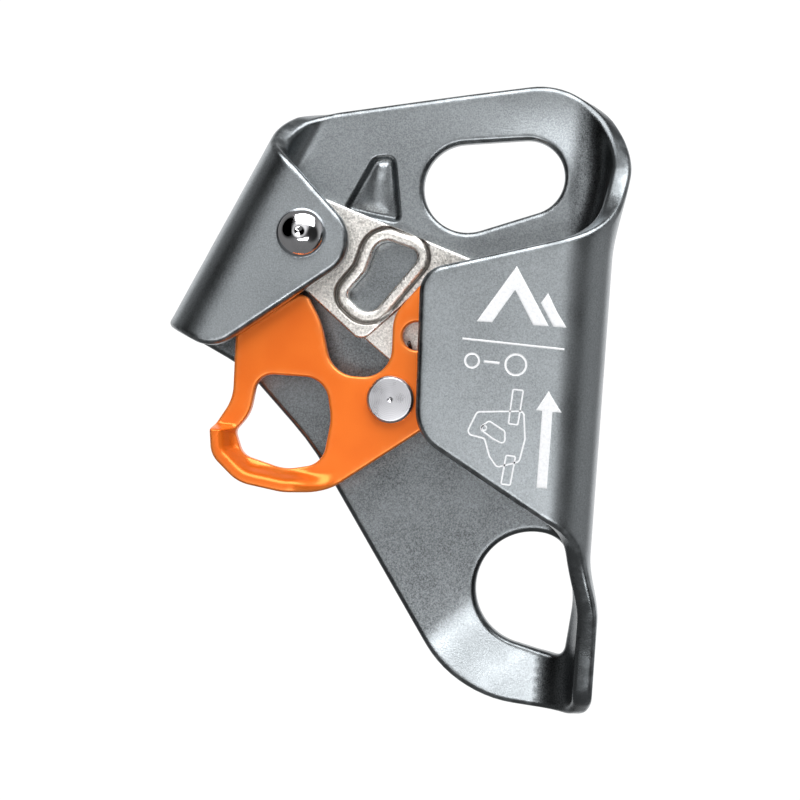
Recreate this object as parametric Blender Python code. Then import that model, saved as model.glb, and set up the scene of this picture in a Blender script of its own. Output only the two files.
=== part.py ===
"""Ascender for ropes of 8 to 13 mm: a folded plate frame, a toothed cam and a trigger catch.

Metres, +Z up along the rope, the front faces -Y. The origin is the centre of the lower
attachment hole, halfway through the thickness of the back plate.
"""

import math

import bmesh
import bpy
from mathutils import Vector, geometry

MM = 0.001

# Driving dimensions, in millimetres.
PLATE = 4.0  # thickness of the folded plate
EDGE = 0.6  # chamfer on the edges of the plate
RIGHT_START = 1.8  # x where the rope channel starts to bend
RIGHT_R = 5.5  # inner radius of both bends of the channel
RIGHT_WALL = 3.5  # flat part of the channel's side wall
LEFT_START = 81.15  # distance of the left fold from the origin
LEFT_LEAN = 25.0  # lean of the left fold from upright, in degrees
LEFT_R = 4.25  # inner radius of the left fold
PIVOT = (-49.9, 67.2)  # axis of the cam, x and z
LINK = (-30.2, 35.7)  # axis of the catch, x and z
LOWER_HOLE = 11.4  # radius of the lower attachment hole
TOP_A, TOP_B = (-18.8, 79.2, 8.9), (-7.0, 82.2, 7.5)  # ends of the upper slot
CAM_REAR, CAM_FRONT, LUG_FRONT = -2.7, -7.0, -5.4
TOOTH_FRONT = -13.0  # the toothed rim is wider than the cam's web
SPIRAL_R, SPIRAL_AT, SPIRAL_TAN = 58.5, -18.0, math.tan(math.radians(18.0))
CATCH_REAR, CATCH_FRONT, LIP_FRONT = -7.2, -10.2, -14.6
CATCH_HOLE = (-26.1, 48.6, 2.8)  # x, z and radius of the spring hole in the catch
CAM_LEG_HOLE = (-43.9, 63.0, 0.62)  # seats of the two springs in the cam
CATCH_LEG_HOLE = (-34.1, 31.8, 0.5)

EAR_INNER = -PLATE / 2 - 2 * LEFT_R
EAR_OUTER = EAR_INNER - PLATE
FLANGE_INNER = -PLATE / 2 - 2 * RIGHT_R - RIGHT_WALL
RIGHT_MID, LEFT_MID = RIGHT_R + PLATE / 2, LEFT_R + PLATE / 2
RIGHT_TURN = math.pi * RIGHT_MID + RIGHT_WALL
LEFT_TURN = math.pi * LEFT_MID
LEAN = math.radians(LEFT_LEAN)
ALONG = (math.sin(LEAN), math.cos(LEAN))  # up the left fold
AWAY = (-math.cos(LEAN), math.sin(LEAN))  # across it, outward


def clear():
    for obj in list(bpy.data.objects):
        bpy.data.objects.remove(obj, do_unlink=True)
    for mesh in list(bpy.data.meshes):
        bpy.data.meshes.remove(mesh)


def step(t):
    t = min(max(t, 0.0), 1.0)
    return t * t * (3 - 2 * t)


def from_fold(q, p):
    """Flat-pattern point q across and p up the left fold."""
    return q * AWAY[0] + p * ALONG[0], q * AWAY[1] + p * ALONG[1]


def rounded(corners, turn=12.0):
    """Closed outline through the corners (x, z, radius), each rounded by an arc."""
    out = []
    count = len(corners)
    for i, (x, z, r) in enumerate(corners):
        ax, az, _ = corners[i - 1]
        bx, bz, _ = corners[(i + 1) % count]
        a = Vector((ax - x, az - z))
        b = Vector((bx - x, bz - z))
        most = 0.495 * min(a.length, b.length)
        a.normalize()
        b.normalize()
        half = a.angle(b) / 2
        r = min(r, most * math.tan(half))
        if r <= 0 or abs(half - math.pi / 2) < 1e-3:
            out.append((x, z))
            continue
        reach = r / math.tan(half)
        centre = Vector((x, z)) + (a + b).normalized() * (r / math.sin(half))
        start = Vector((x, z)) + a * reach - centre
        sweep = start.angle_signed(Vector((x, z)) + b * reach - centre)
        steps = max(2, math.ceil(math.degrees(abs(sweep)) / turn))
        for k in range(steps + 1):
            t = -sweep * k / steps
            out.append(
                (
                    centre.x + start.x * math.cos(t) - start.y * math.sin(t),
                    centre.y + start.x * math.sin(t) + start.y * math.cos(t),
                )
            )
    return out


def circle(x, z, r, count=32):
    return [
        (x + r * math.cos(2 * math.pi * k / count), z + r * math.sin(2 * math.pi * k / count))
        for k in range(count)
    ]


def hull_of_two(a, b, steps=14):
    """Outline round two circles (x, z, r) and their two common tangents."""
    dx, dz = b[0] - a[0], b[1] - a[1]
    base = math.atan2(dz, dx)
    off = math.acos((a[2] - b[2]) / math.hypot(dx, dz))
    out = []
    for (x, z, r), start, end in (
        (a, base + off, base + 2 * math.pi - off),
        (b, base - off, base + off),
    ):
        for k in range(steps + 1):
            t = start + (end - start) * k / steps
            out.append((x + r * math.cos(t), z + r * math.sin(t)))
    return out


def area(loop):
    return sum(
        loop[i - 1][0] * loop[i][1] - loop[i][0] * loop[i - 1][1] for i in range(len(loop))
    )


def finer(loop, size):
    """The outline with its long sides split; size gives the longest side at a point."""
    out = []
    for i, b in enumerate(loop):
        a = loop[i - 1]
        length = math.dist(a, b)
        if length < 1e-4:
            continue
        most = min(size(*a), size(*b), size((a[0] + b[0]) / 2, (a[1] + b[1]) / 2))
        parts = max(1, math.ceil(length / most))
        for k in range(1, parts + 1):
            out.append((a[0] + (b[0] - a[0]) * k / parts, a[1] + (b[1] - a[1]) * k / parts))
    return out


def inset(loop, by):
    """The outline moved to its left by a distance: inward for a counter-clockwise one."""
    out = []
    for i, p in enumerate(loop):
        a, b = loop[i - 1], loop[(i + 1) % len(loop)]
        d = Vector((p[0] - a[0], p[1] - a[1])).normalized()
        e = Vector((b[0] - p[0], b[1] - p[1])).normalized()
        n = Vector((-d.y - e.y, d.x + e.x)).normalized()
        scale = by / max(0.5, n.dot(Vector((-d.y, d.x))))
        out.append((p[0] + n.x * scale, p[1] + n.y * scale))
    return out


def within(x, z, loops):
    odd = False
    for loop in loops:
        for i, (bx, bz) in enumerate(loop):
            ax, az = loop[i - 1]
            if (az > z) != (bz > z) and x < (bx - ax) * (z - az) / (bz - az) + ax:
                odd = not odd
    return odd


def near(x, z, loops, gap):
    return any(math.hypot(x - a, z - b) < gap for loop in loops for a, b in loop)


def make(name, verts, faces, colour, metallic=1.0, rough=0.4):
    mesh = bpy.data.meshes.new(name)
    mesh.from_pydata([(x * MM, y * MM, z * MM) for x, y, z in verts], [], faces)
    bm = bmesh.new()
    bm.from_mesh(mesh)
    bmesh.ops.remove_doubles(bm, verts=bm.verts, dist=1e-7)
    bmesh.ops.recalc_face_normals(bm, faces=bm.faces)
    if bm.calc_volume(signed=True) < 0:
        bmesh.ops.reverse_faces(bm, faces=bm.faces)
    bm.to_mesh(mesh)
    bm.free()
    obj = bpy.data.objects.new(name, mesh)
    bpy.context.scene.collection.objects.link(obj)
    material = bpy.data.materials.new(name)
    material.use_nodes = True
    shader = material.node_tree.nodes["Principled BSDF"]
    shader.inputs["Base Color"].default_value = (*colour, 1)
    shader.inputs["Metallic"].default_value = metallic
    shader.inputs["Roughness"].default_value = rough
    mesh.materials.append(material)
    return obj


def sheet(outline, holes, low, high, edge, place, size, inner=()):
    """Closed sheet: outlines in a flat pattern, filled, thickened and put in place."""
    loops = [finer(outline if area(outline) > 0 else outline[::-1], size)]
    loops += [finer(h if area(h) < 0 else h[::-1], size) for h in holes]
    tight = [inset(loop, edge) for loop in loops]
    flat = [p for loop in tight for p in loop]
    edges, start = [], 0
    for loop in tight:
        edges += [(start + i, start + (i + 1) % len(loop)) for i in range(len(loop))]
        start += len(loop)
    rim = start
    flat += [p for p in inner if within(*p, tight) and not near(*p, tight, 0.9)]
    found = geometry.delaunay_2d_cdt([Vector(p) for p in flat], edges, [], 0, 1e-6, True)
    back = [ids[0] for ids in found[3]]
    tris = []
    for face in found[2]:
        x = sum(found[0][i].x for i in face) / 3
        z = sum(found[0][i].y for i in face) / 3
        thin = abs(area([tuple(found[0][i]) for i in face])) < 1e-4
        if not thin and within(x, z, tight):
            tris.append([back[i] for i in face])
    wide = [p for loop in loops for p in loop]
    verts = [place(*p, low) for p in flat] + [place(*p, high) for p in flat]
    verts += [place(*p, low + edge) for p in wide] + [place(*p, high - edge) for p in wide]
    n = len(flat)
    faces = [tuple(t[::-1]) for t in tris] + [tuple(i + n for i in t) for t in tris]
    for i, j in edges:
        rows = [i, 2 * n + i, 2 * n + rim + i, n + i]
        ends = [j, 2 * n + j, 2 * n + rim + j, n + j]
        for k in range(3):
            faces.append((rows[k], ends[k], ends[k + 1], rows[k + 1]))
    return verts, faces


def upright(u, v, n):
    return u, n, v


def lathe(profile, x, z, count=40, hole=False):
    """Turned solid on an axis along Y: (radius, y) points, closed on the axis unless hole."""
    verts, faces = [], []
    if hole:
        profile = list(profile) + [profile[0]]
    for k in range(count):
        t = 2 * math.pi * k / count
        for r, y in profile:
            verts.append((x + r * math.cos(t), y, z + r * math.sin(t)))
    rows = len(profile)
    for k in range(count):
        j = (k + 1) % count
        for i in range(rows - 1):
            faces.append((k * rows + i, k * rows + i + 1, j * rows + i + 1, j * rows + i))
    return verts, faces


def ring(x, z, inner, outer, y0, y1, c=0.1):
    y0, y1 = min(y0, y1), max(y0, y1)
    profile = [(inner, y0), (outer - c, y0), (outer, y0 + c), (outer, y1 - c), (outer - c, y1), (inner, y1)]
    return lathe(profile, x, z, hole=True)


def wire(path, radius, sides=10):
    """Round wire along a path of points, with its frame carried from point to point."""
    path = [Vector(p) for p in path]
    verts, faces = [], []
    across = None
    for i, p in enumerate(path):
        a, b = path[max(i - 1, 0)], path[min(i + 1, len(path) - 1)]
        d = (b - a).normalized()
        if across is None:
            across = d.orthogonal().normalized()
        across = (across - d * across.dot(d)).normalized()
        other = d.cross(across)
        for k in range(sides):
            t = 2 * math.pi * k / sides
            verts.append(tuple(p + (across * math.cos(t) + other * math.sin(t)) * radius))
    for i in range(len(path) - 1):
        for k in range(sides):
            j = (k + 1) % sides
            faces.append((i * sides + k, i * sides + j, (i + 1) * sides + j, (i + 1) * sides + k))
    faces.append(tuple(range(sides))[::-1])
    faces.append(tuple((len(path) - 1) * sides + k for k in range(sides)))
    return verts, faces


def boolean(obj, tool, kind):
    """Joins or cuts obj with another mesh, then takes that mesh out of the scene."""
    mod = obj.modifiers.new(kind.lower(), "BOOLEAN")
    mod.operation = kind
    mod.solver = "EXACT"
    mod.object = tool
    graph = bpy.context.evaluated_depsgraph_get()
    result = bpy.data.meshes.new_from_object(obj.evaluated_get(graph))
    obj.modifiers.clear()
    obj.data = result
    bpy.data.objects.remove(tool, do_unlink=True)
    bm = bmesh.new()
    bm.from_mesh(result)
    bmesh.ops.remove_doubles(bm, verts=bm.verts, dist=2e-6)
    bmesh.ops.dissolve_degenerate(bm, edges=bm.edges, dist=2e-6)
    bmesh.ops.triangulate(bm, faces=bm.faces)
    bm.to_mesh(result)
    bm.free()


def solid(name, parts, colour=(0.5, 0.5, 0.5)):
    return make(name, *parts, colour)


# ---- The folded frame -------------------------------------------------------------


def across_left(u, v):
    return u * AWAY[0] + v * AWAY[1]


def bell(u, v):
    """How far the plate leans outward at the two mouths of the rope channel."""
    side = step(u / 10.0)
    top = 1.5 * step((v - 80.0) / 18.0) * step((u + 24.0) / 22.0) * (1 - side)
    top += 2.6 * step((v - 66.0) / 20.0) * side
    reach = 0.715 * (u + 21.6) - 0.7 * (v + 10.8)
    low = 2.1 * step(reach / 18.0) * step((24.0 - v) / 20.0) * (1 - side)
    low += 2.3 * step((8.0 - v) / 13.0) * side
    end = RIGHT_START + RIGHT_TURN
    return (top + low) * (1 - 0.75 * step((u - end + 8.0) / 14.0))


def place_frame(u, v, n):
    """Flat pattern to folded plate; n is the offset from mid-thickness, outward."""
    q = across_left(u, v) - LEFT_START
    if q > 0:
        p = u * ALONG[0] + v * ALONG[1]
        turn = min(q / LEFT_MID, math.pi)
        rest = q - turn * LEFT_MID
        reach = LEFT_START + (LEFT_MID + n) * math.sin(turn) - rest
        y = -PLATE / 2 - LEFT_R + (LEFT_MID + n) * math.cos(turn)
        x, z = from_fold(reach, p)
        return x, y, z
    s = u - RIGHT_START
    n = n + bell(u, v)
    if s <= 0:
        return u, n, v
    quarter = math.pi / 2 * RIGHT_MID
    y = -PLATE / 2 - RIGHT_R
    if s <= quarter:
        t = s / RIGHT_MID
        return RIGHT_START + (RIGHT_MID + n) * math.sin(t), y + (RIGHT_MID + n) * math.cos(t), v
    s -= quarter
    if s <= RIGHT_WALL:
        return RIGHT_START + RIGHT_MID + n, y - s, v
    s -= RIGHT_WALL
    y -= RIGHT_WALL
    t = min(s / RIGHT_MID, math.pi / 2)
    s -= t * RIGHT_MID
    return RIGHT_START + (RIGHT_MID + n) * math.cos(t) - s, y - (RIGHT_MID + n) * math.sin(t), v


def frame_outline():
    """The flat pattern of the frame, counter-clockwise from the front."""
    corners = [
        (2.4, 102.5, 15.0),
        (*from_fold(87.5, 59.9), 5.0),
        (*from_fold(94.0, 53.2), 7.0),
        (*from_fold(121.1, 43.7), 7.5),
        (*from_fold(104.0, 11.0), 7.0),
        (*from_fold(84.0, 10.4), 40.0),
        (-61.5, 40.0, 24.0),
        (-46.5, 25.3, 60.0),
        (-14.0, -22.5, 24.0),
        (10.0, -24.3, 5.0),
        (14.8, -20.6, 6.0),
        (18.6, -3.0, 30.0),
        (21.5, 10.3, 30.0),
        (54.7, 29.2, 9.0),
        (56.0, 61.2, 5.5),
        (22.1, 71.1, 22.0),
    ]
    return rounded(corners, 5.0)


def lower_hole():
    """Round hole; beside the bend it is cut short, with a corner drawn out below."""
    beside = rounded([(-2.0, -11.2, 0), (6.9, -13.4, 2.4), (8.2, -4.0, 12.0), (10.7, 3.9, 0)])
    bend = [math.radians(20 + 8 * k) for k in range(31)]
    return [(LOWER_HOLE * math.cos(t), LOWER_HOLE * math.sin(t)) for t in bend] + beside[1:-1]


def mirrored_hole(x, z, r):
    """A hole in the ear, given where it ends up when folded."""
    q = x * AWAY[0] + z * AWAY[1]
    p = x * ALONG[0] + z * ALONG[1]
    return circle(*from_fold(2 * LEFT_START + LEFT_TURN - q, p), r)


def bend_lines():
    """Points on lines along the bends, so that the filled pattern follows them."""
    out = []
    for k in range(13):
        for j in range(40):
            out.append((RIGHT_START + RIGHT_TURN * k / 12.0, -24.0 + 3.2 * j))
    for k in range(11):
        for j in range(12):
            out.append(from_fold(LEFT_START + LEFT_TURN * k / 10.0, 12.0 + 4.6 * j))
    for k in range(8):
        for j in range(8):
            out.append((-22.0 + 3.0 * k, -22.0 + 3.2 * j))
            out.append((-22.0 + 3.0 * k, 78.0 + 3.2 * j))
    return out


def frame_size(u, v):
    q = across_left(u, v) - LEFT_START
    if -0.5 < q < LEFT_TURN + 0.5:
        return 2.2
    if -0.5 < u - RIGHT_START < RIGHT_TURN + 0.5:
        return 2.2
    if u > -24 and (v < 10 or v > 78):
        return 3.5
    return 14.0


def frame_plate():
    holes = [
        lower_hole(),
        hull_of_two(TOP_A, TOP_B),
        circle(*PIVOT, 3.05, 28),
        mirrored_hole(*PIVOT, 3.05),
    ]
    half = PLATE / 2
    parts = sheet(
        frame_outline(), holes, -half, half, EDGE, place_frame, frame_size, bend_lines()
    )
    plate = make("frame_plate", *parts, (0.19, 0.21, 0.22), 1.0, 0.42)
    pocket = rounded(
        [(-34.0, 84.9, 1.8), (-38.2, 84.3, 2.2), (-43.7, 73.0, 1.4), (-31.7, 71.2, 1.3)], 20.0
    )
    tool = solid("tool", sheet(pocket, [], -3.0, -0.6, 0.05, upright, lambda u, v: 20.0))
    boolean(plate, tool, "DIFFERENCE")
    return plate


# ---- The cam ----------------------------------------------------------------------


def coarse(u, v):
    return 40.0


def spiral(angle, less=0.0):
    """Point of the gripping face at an angle in degrees from the pivot."""
    r = SPIRAL_R * math.exp(math.radians(SPIRAL_AT - angle) * SPIRAL_TAN) - less
    t = math.radians(angle)
    return PIVOT[0] + r * math.cos(t), PIVOT[1] + r * math.sin(t)


def prism(name, outline, y0, y1, edge=0.3, holes=()):
    y0, y1 = min(y0, y1), max(y0, y1)
    return solid(name, sheet(outline, holes, y0, y1, edge, upright, coarse))


def cam_body():
    """Raised web: hub, ring round the window, beam to the gripping face."""
    hub = []
    for k in range(17):
        t = math.radians(74 + 10 * k)
        hub.append((PIVOT[0] + 8.3 * math.cos(t), PIVOT[1] + 8.3 * math.sin(t)))
    face = [spiral(a, 2.6) for a in (-27.0, -24.0, -21.0, -18.0, -15.0, -12.0, -9.6)]
    lower = rounded(
        [
            (-40.6, 48.6, 0.0),
            (-37.0, 47.0, 3.5),
            (-27.3, 56.9, 5.0),
            (-13.0, 57.5, 5.0),
            (-5.0, 41.0, 3.0),
            (2.7, 40.4, 0.0),
        ]
    )
    return hub + lower[1:-1] + face


def cam_lug():
    return rounded(
        [
            (-49.0, 62.0, 0.0),
            (-40.3, 50.1, 0.5),
            (-31.0, 43.1, 1.0),
            (-31.5, 30.0, 1.0),
            (-25.0, 29.5, 6.0),
            (-4.5, 38.0, 2.0),
            (-4.0, 52.0, 1.0),
            (-12.0, 60.0, 2.0),
        ]
    )


def cam_rim():
    """The toothed rim, a saw-tooth outline on the spiral."""
    out = []
    steps = 12
    for k in range(steps):
        a = -27.6 + 18.6 * k / steps
        out += [spiral(a, 1.2), spiral(a + 0.4, 0.0)]
    out.append(spiral(-9.0, 1.2))
    return out + [spiral(a, 5.2) for a in (-9.2, -12.0, -16.0, -20.0, -24.0, -27.4)]


def cam_window():
    return rounded(
        [
            (-37.6, 61.0, 5.0),
            (-41.4, 55.9, 1.8),
            (-36.4, 51.6, 3.0),
            (-26.2, 65.4, 2.0),
            (-35.6, 68.0, 3.0),
        ]
    )


def cam():
    obj = prism("cam", cam_body(), CAM_REAR, CAM_FRONT)
    obj.data.materials[0].name = "cam"
    boolean(obj, prism("tool", cam_lug(), CAM_REAR - 0.05, LUG_FRONT), "UNION")
    boolean(obj, prism("tool", circle(*LINK, 6.3), CAM_REAR - 0.1, LUG_FRONT + 0.1), "UNION")
    boolean(obj, prism("tool", cam_rim(), -4.6, TOOTH_FRONT, 0.1), "UNION")
    boolean(obj, prism("tool", circle(*LINK, 4.0), -4.5, CAM_FRONT, 0.2), "UNION")
    sunk = inset(cam_window(), -2.6)
    boolean(obj, prism("tool", sunk, CAM_FRONT + 0.9, -9.0), "DIFFERENCE")
    boolean(obj, prism("tool", cam_window(), -1.0, -9.0), "DIFFERENCE")
    boolean(obj, prism("tool", circle(*PIVOT, 4.06), -1.0, -9.0, 0.05), "DIFFERENCE")
    bore = [(0, 0.0), (4.2, 0.0), (4.2, CAM_REAR - 0.3), (2.56, -4.6), (2.56, -9.0), (0, -9.0)]
    boolean(obj, solid("tool", lathe(bore, *LINK, 36)), "DIFFERENCE")
    for (x, z, r), deep in ((CAM_LEG_HOLE, -5.6), (CATCH_LEG_HOLE, -4.0)):
        boolean(obj, prism("tool", circle(x, z, r, 16), deep, -9.0, 0.05), "DIFFERENCE")
    return obj


# ---- The trigger catch ------------------------------------------------------------


def catch_outline():
    return rounded(
        [
            (-62.3, 48.0, 4.5),
            (-61.9, 33.6, 9.0),
            (-65.4, 27.6, 2.5),
            (-64.7, 22.2, 5.0),
            (-59.0, 17.2, 8.0),
            (-50.0, 15.9, 12.0),
            (-41.9, 16.4, 12.0),
            (-20.0, 32.8, 6.0),
            (-20.0, 59.5, 3.0),
            (-26.0, 58.9, 2.0),
            (-31.0, 52.4, 7.0),
            (-30.6, 39.8, 6.2),
            (-42.4, 39.8, 6.0),
            (-45.4, 50.0, 16.0),
            (-49.0, 56.0, 2.0),
        ],
        9.0,
    )


def finger_hole():
    return rounded(
        [
            (-57.2, 39.0, 3.6),
            (-58.2, 31.0, 8.0),
            (-61.0, 27.2, 1.6),
            (-59.2, 22.6, 3.5),
            (-50.5, 20.3, 9.0),
            (-43.0, 22.0, 4.5),
            (-41.9, 31.0, 10.0),
            (-43.6, 39.0, 5.0),
        ]
    )


def catch():
    outline = catch_outline()
    holes = [finger_hole(), circle(*LINK, 2.56, 28), circle(*CATCH_HOLE, 24)]
    obj = prism("catch", outline, CATCH_REAR, CATCH_FRONT, 0.5, holes)
    shader = obj.data.materials[0].node_tree.nodes["Principled BSDF"]
    shader.inputs["Base Color"].default_value = (0.95, 0.22, 0.02, 1)
    wide = finer(outline, lambda u, v: 2.0)
    outer = [p for p in wide if p[1] < 28.4 and p[0] < -40.5]
    inner = [p for p, o in zip(inset(wide, 3.0), wide) if o in outer]
    lip = inset(outer[::3] + inner[::3][::-1], 0.02)
    boolean(obj, prism("tool", lip, CATCH_REAR - 0.8, LIP_FRONT, 0.3), "UNION")
    return obj


# ---- Rivets, sleeve, washers and springs ------------------------------------------


def cam_rivet():
    """Domed head on the ear, shank through both plates, low head at the back."""
    x, z = PIVOT
    front, back = EAR_OUTER - 0.08, PLATE / 2 + 0.08
    profile = [(0.0, back + 2.0), (3.2, back + 1.8), (4.6, back + 0.9), (4.9, back)]
    profile += [(3.0, back), (3.0, front), (4.9, front)]
    for k in range(1, 7):
        t = math.pi / 2 * k / 6
        profile.append((4.9 * math.cos(t), front - 0.3 - 3.2 * math.sin(t)))
    profile[-1] = (0.0, profile[-1][1])
    return make("cam_rivet", *lathe(profile, x, z), (0.75, 0.75, 0.76), 1.0, 0.15)


def catch_rivet():
    """Flat turned head in front, tail closed flush in the back of the cam."""
    x, z = LINK
    front, back = CATCH_FRONT - 0.08, CAM_REAR - 0.1
    profile = [(0.0, back), (3.9, back), (2.5, -4.4), (2.5, front), (4.4, front)]
    profile += [(4.7, front - 0.3), (4.7, front - 1.5), (4.4, front - 1.8), (0.0, front - 1.8)]
    return make("catch_rivet", *lathe(profile, x, z), (0.6, 0.6, 0.62), 1.0, 0.35)


def helix(x, z, r, y0, y1, start, turns, steps=16):
    count = round(turns * steps)
    out = []
    for k in range(count + 1):
        t = math.radians(start) + 2 * math.pi * turns * k / count
        out.append((x + r * math.cos(t), y0 + (y1 - y0) * k / count, z + r * math.sin(t)))
    return out


def cam_spring():
    x, z = PIVOT
    hx, hz, _ = CAM_LEG_HOLE
    coil = helix(x, z, 4.95, -7.62, -9.86, -35.0, 2.25)
    leg = [(hx, -6.2, hz), (hx, -7.0, hz), (hx - 0.2, -7.5, hz + 0.15)]
    tail = [(x - 3.6, -9.88, z + 5.2), (x - 7.5, -9.4, z + 3.0), (x - 10.6, -8.2, z + 1.0)]
    return make("cam_spring", *wire(leg + coil + tail, 0.5), (0.5, 0.5, 0.5), 1.0, 0.3)


def catch_spring():
    x, z = LINK
    hx, hz, _ = CATCH_LEG_HOLE
    coil = helix(x, z, 4.65, -5.86, -6.72, 225.0, 1.4)
    leg = [(hx, -4.4, hz), (hx, -5.4, hz), (hx + 0.3, -5.8, hz + 0.35)]
    ex, ez = CATCH_HOLE[0] - 0.5, CATCH_HOLE[1] - 2.0
    tail = [(x + 4.4, -6.74, z + 4.5), (ex, -6.74, ez - 0.7), (ex, -7.1, ez - 0.1), (ex, -9.2, ez)]
    return make("catch_spring", *wire(leg + coil + tail, 0.34), (0.1, 0.1, 0.1), 1.0, 0.4)


def small_parts():
    x, z = PIVOT
    sleeve = ring(x, z, 3.05, 4.0, -2.06, EAR_INNER + 0.06)
    make("cam_sleeve", *sleeve, (0.45, 0.44, 0.42), 1.0, 0.35)
    washer = ring(x, z, 4.06, 7.4, -2.06, -2.6)
    make("cam_washer", *washer, (0.55, 0.54, 0.5), 1.0, 0.4)
    # Shim between the catch and its boss on the cam.
    shim = ring(*LINK, 2.56, 3.95, CAM_FRONT - 0.03, CATCH_REAR + 0.03, 0.02)
    make("catch_washer", *shim, (0.55, 0.54, 0.5), 1.0, 0.4)


clear()
frame_plate()
cam()
catch()
cam_rivet()
catch_rivet()
cam_spring()
catch_spring()
small_parts()
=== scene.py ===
"""Looks of a compact rope ascender: folded plate frame, toothed cam, trigger catch.

Lengths are in millimetres until a mesh is made. The flat pattern of the frame has u across
and v up; n is the distance from mid-thickness, outward. Upright pieces use x, z and y.
"""

import math

import bpy
import numpy as np
from mathutils import Matrix, Vector, geometry


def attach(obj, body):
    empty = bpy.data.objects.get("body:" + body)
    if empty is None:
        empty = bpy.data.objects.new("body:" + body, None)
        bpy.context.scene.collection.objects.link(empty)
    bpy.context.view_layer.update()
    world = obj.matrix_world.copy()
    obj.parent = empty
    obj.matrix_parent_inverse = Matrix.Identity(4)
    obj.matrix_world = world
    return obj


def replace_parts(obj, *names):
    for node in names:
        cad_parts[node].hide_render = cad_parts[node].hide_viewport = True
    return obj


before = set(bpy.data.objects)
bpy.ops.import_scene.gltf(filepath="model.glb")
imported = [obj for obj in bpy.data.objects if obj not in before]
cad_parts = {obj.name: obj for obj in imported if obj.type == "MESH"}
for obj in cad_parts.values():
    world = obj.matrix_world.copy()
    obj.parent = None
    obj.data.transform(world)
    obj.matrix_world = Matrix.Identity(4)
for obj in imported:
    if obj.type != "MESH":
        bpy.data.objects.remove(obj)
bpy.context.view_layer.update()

MM = 0.001
PLATE = 4.0  # thickness of the folded plate
ROUND = 1.05  # radius on the edges of the plate
RIGHT_START = 1.8  # x where the rope channel starts to bend
RIGHT_R = 5.5  # inner radius of both bends of the channel
RIGHT_WALL = 3.5  # flat part of the channel's side wall
LEFT_START = 81.15  # distance of the left fold from the origin
LEFT_R = 4.25  # inner radius of the left fold
LEAN = math.radians(25.0)  # lean of the left fold from upright
PIVOT = (-49.9, 67.2)  # axis of the cam, x and z
LINK = (-30.2, 35.7)  # axis of the catch, x and z
LOWER_HOLE = 11.4
RIVET_BORE, PIN_BORE, SLEEVE_BORE = 3.2, 2.6, 4.06  # radii of the bores at both axes
HEAD_R = 4.9  # radius of the domed rivet's heads
TOP_A, TOP_B = (-18.8, 79.2, 8.9), (-7.0, 82.2, 7.5)  # ends of the upper slot
POCKET_DEPTH = 1.5
CAM_REAR, CAM_FRONT, LUG_FRONT, TOOTH_FRONT = -2.7, -7.0, -5.4, -13.0
SPIRAL_R, SPIRAL_AT, SPIRAL_TAN = 58.5, -18.0, math.tan(math.radians(18.0))
CATCH_REAR, CATCH_FRONT, LIP_FRONT = -7.2, -10.2, -14.6
CATCH_HOLE = (-26.1, 48.6, 2.8)  # spring hole: x, z and radius
CAM_LEG_HOLE = (-43.9, 63.0)  # seats of the two springs in the cam
CATCH_LEG_HOLE = (-34.1, 31.8)

EAR_INNER = -PLATE / 2 - 2 * LEFT_R
EAR_OUTER = EAR_INNER - PLATE
RIGHT_MID, LEFT_MID = RIGHT_R + PLATE / 2, LEFT_R + PLATE / 2
RIGHT_TURN = math.pi * RIGHT_MID + RIGHT_WALL
LEFT_TURN = math.pi * LEFT_MID
FLAT_X = 2 * RIGHT_START + RIGHT_TURN  # u of a point on the flange is this less its x
ALONG = np.array((math.sin(LEAN), math.cos(LEAN)))  # up the left fold
AWAY = np.array((-math.cos(LEAN), math.sin(LEAN)))  # across it, outward


# ---- Outlines ---------------------------------------------------------------------


def smooth(t):
    """Rises from 0 to 1 as t does, level at both ends: 3t^2 - 2t^3."""
    t = np.clip(t, 0.0, 1.0)
    return t * t * (3 - 2 * t)


def from_fold(q, p):
    """Flat-pattern point q across and p up the left fold."""
    return tuple(q * AWAY + p * ALONG)


def rounded(corners, turn=5.0):
    """Closed outline through the corners (x, z, radius): each corner becomes an arc round
    a centre on its bisector, radius / sin(half angle) away from it."""
    corners = np.array(corners, float)
    runs = []
    for (x, z, r), before, after in zip(corners, np.roll(corners, 1, 0), np.roll(corners, -1, 0)):
        here = np.array((x, z))
        back, ahead = before[:2] - here, after[:2] - here
        most = 0.495 * min(np.hypot(*back), np.hypot(*ahead))
        back /= np.hypot(*back)
        ahead /= np.hypot(*ahead)
        half = math.acos(np.clip(back @ ahead, -1, 1)) / 2
        r = min(r, most * math.tan(half))
        if r < 1e-6 or half > math.pi / 2 - 1e-3:
            runs.append([here])
            continue
        middle = back + ahead
        centre = here + middle / np.hypot(*middle) * r / math.sin(half)
        start = here + back * r / math.tan(half) - centre
        end = here + ahead * r / math.tan(half) - centre
        sweep = math.copysign(math.pi - 2 * half, start[0] * end[1] - start[1] * end[0])
        t = np.linspace(0, sweep, max(3, math.ceil(math.degrees(abs(sweep)) / turn) + 1))
        side = np.array((-start[1], start[0]))
        runs.append(centre + np.outer(np.cos(t), start) + np.outer(np.sin(t), side))
    return np.vstack(runs)


def arc(x, z, r, start, end, count):
    """Points on a circle from one angle to another, in degrees."""
    t = np.radians(np.linspace(start, end, count))
    return np.stack((x + r * np.cos(t), z + r * np.sin(t)), 1)


def circle(x, z, r, count=72):
    return arc(x, z, r, 0, 360, count + 1)[:-1]


def hull_of_two(a, b, count=36):
    """Outline round two circles (x, z, r) and their two common tangents."""
    base = math.degrees(math.atan2(b[1] - a[1], b[0] - a[0]))
    off = math.degrees(math.acos((a[2] - b[2]) / math.hypot(b[0] - a[0], b[1] - a[1])))
    ends = arc(*a, base + off, base + 360 - off, count), arc(*b, base - off, base + off, count)
    return np.vstack(ends)


def signed_area(loop):
    x, z = loop.T
    return (x * np.roll(z, -1) - z * np.roll(x, -1)).sum() / 2


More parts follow.
